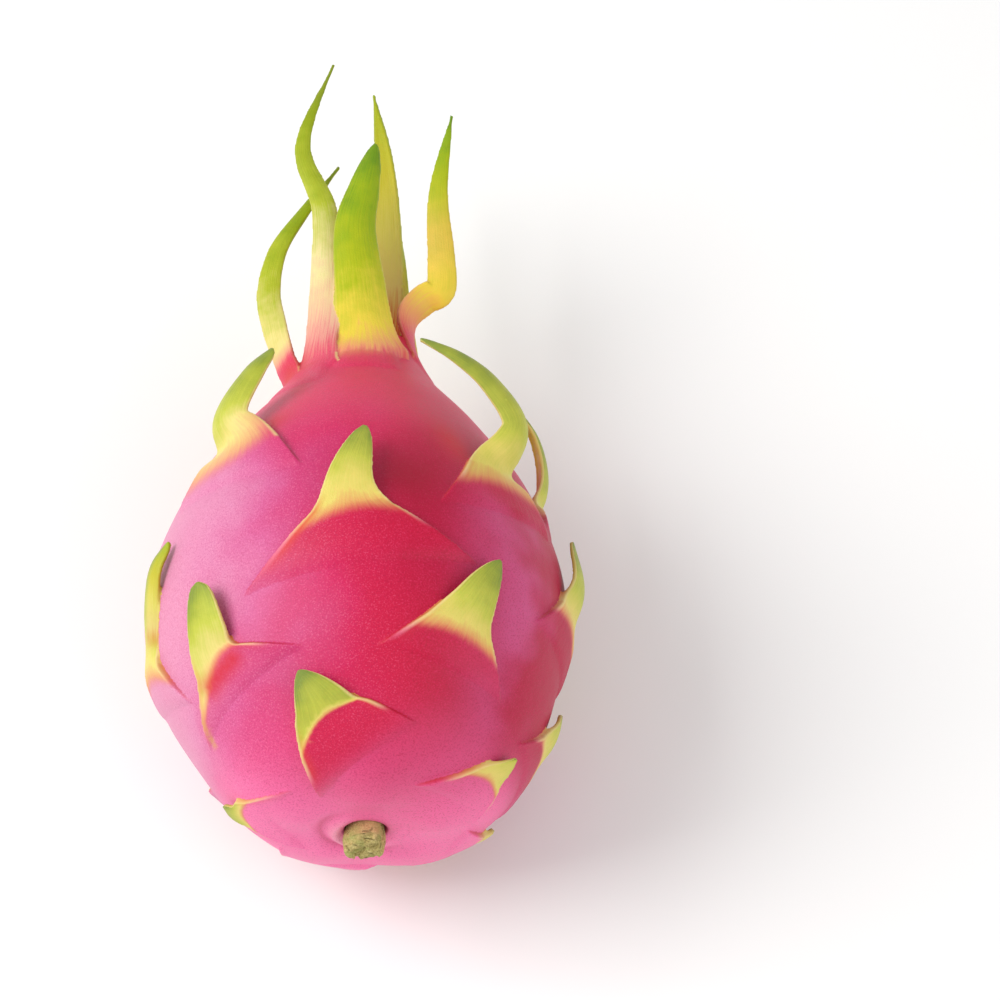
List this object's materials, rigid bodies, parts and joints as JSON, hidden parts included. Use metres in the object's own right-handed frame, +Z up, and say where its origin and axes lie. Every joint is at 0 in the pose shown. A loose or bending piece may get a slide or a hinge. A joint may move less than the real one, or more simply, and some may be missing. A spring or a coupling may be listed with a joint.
{
  "type": "dragon fruit",
  "caption": "Whole ripe red pitaya, as picked, lying on its side: an egg-shaped fruit with leafy green-tipped scales and a crown of long bracts.",
  "frame": {"origin": "middle of the small flat spot that the fruit rests on", "axes": "+Y along the fruit from its cut stem to its crown, +Z up from the surface it lies on, +X to the right seen from the stem end"},
  "size_m": [0.0942, 0.1952, 0.0927],
  "materials": {
    "skin": "waxy pink skin, with scales and bracts that turn yellow and then green towards their tips",
    "stem": "dry, cracked, khaki-green cut stem",
    "scar": "dry brown remains of the flower"
  },
  "bodies": {
    "root": {"fruit": "skin", "stem_stub": "stem", "flower_scar": "scar"}
  },
  "joints": []
}
